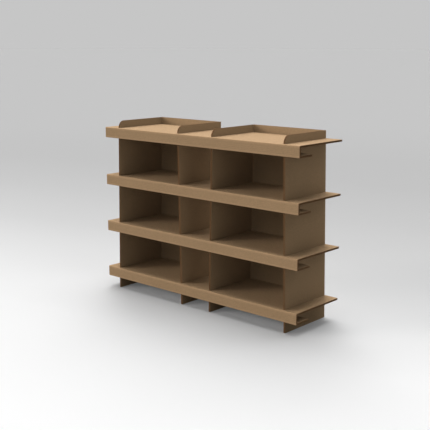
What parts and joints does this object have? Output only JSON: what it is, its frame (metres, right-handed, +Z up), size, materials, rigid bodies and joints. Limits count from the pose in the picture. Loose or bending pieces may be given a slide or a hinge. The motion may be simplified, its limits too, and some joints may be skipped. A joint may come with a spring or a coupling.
{
  "type": "cardboard display shelf",
  "caption": "Free-standing display shelf of folded corrugated board: tapered U-shaped uprights carry slotted folded shelves and end in open trays on top.",
  "frame": {"origin": "middle of the footprint, on the floor", "axes": "+X along the shelves, +Z up, open front towards -Y"},
  "size_m": [1, 0.26, 0.713],
  "materials": {
    "board": "matte brown kraft"
  },
  "bodies": {
    "root": {"upright_left": "board", "upright_right": "board", "top_shelf": "board", "upper_shelf": "board", "lower_shelf": "board", "bottom_shelf": "board"}
  },
  "joints": []
}
